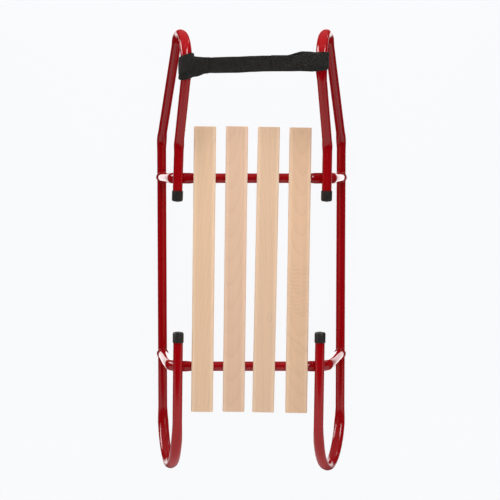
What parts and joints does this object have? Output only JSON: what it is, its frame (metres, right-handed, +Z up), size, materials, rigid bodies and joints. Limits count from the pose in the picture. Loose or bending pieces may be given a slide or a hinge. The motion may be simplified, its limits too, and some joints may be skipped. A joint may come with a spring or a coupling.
{
  "type": "sled",
  "caption": "Low sled: two bent steel-tube side frames as runners, wooden seat slats on arched crossmembers, and a webbing pull strap between raised front horns.",
  "frame": {"origin": "on the ground under the middle of the sled's bounding box", "axes": "+Z up, +Y to the raised front with the strap, +X to the rider's right"},
  "size_m": [0.3477, 0.7749, 0.2593],
  "materials": {
    "frame_paint": "gloss red paint",
    "beech": "clear satin lacquer",
    "cap_plastic": "satin black",
    "webbing": "woven black webbing",
    "zinc_steel": "zinc plated"
  },
  "bodies": {
    "frame": {"left_side_tube": "frame_paint", "right_side_tube": "frame_paint", "front_crossmember": "frame_paint", "rear_crossmember": "frame_paint", "slat_outer_left": "beech", "slat_inner_left": "beech", "slat_inner_right": "beech", "slat_outer_right": "beech", "front_left_cap": "cap_plastic", "rear_left_cap": "cap_plastic", "front_right_cap": "cap_plastic", "rear_right_cap": "cap_plastic", "front_screw_outer_left": "zinc_steel", "rear_screw_outer_left": "zinc_steel", "front_screw_inner_left": "zinc_steel", "rear_screw_inner_left": "zinc_steel", "front_screw_inner_right": "zinc_steel", "rear_screw_inner_right": "zinc_steel", "front_screw_outer_right": "zinc_steel", "rear_screw_outer_right": "zinc_steel"},
    "strap_left": {"pull_strap_left": "webbing"},
    "strap_right": {"pull_strap_right": "webbing"}
  },
  "joints": [
    {"name": "strap_lift", "type": "hinge", "parent": "frame", "child": "strap_left", "pos_m": [-0.10725, 0.32519, 0.24624], "axis": [0, -1, 0], "range_deg": [-5, 5]},
    {"name": "strap_fold", "type": "hinge", "parent": "strap_left", "child": "strap_right", "pos_m": [0.00375, 0.32519, 0.24709], "axis": [0, -1, 0], "range_deg": [-10, 10]}
  ],
  "couplings": [
    {"joint": "strap_fold", "follows": "strap_lift", "ratio": -2}
  ]
}
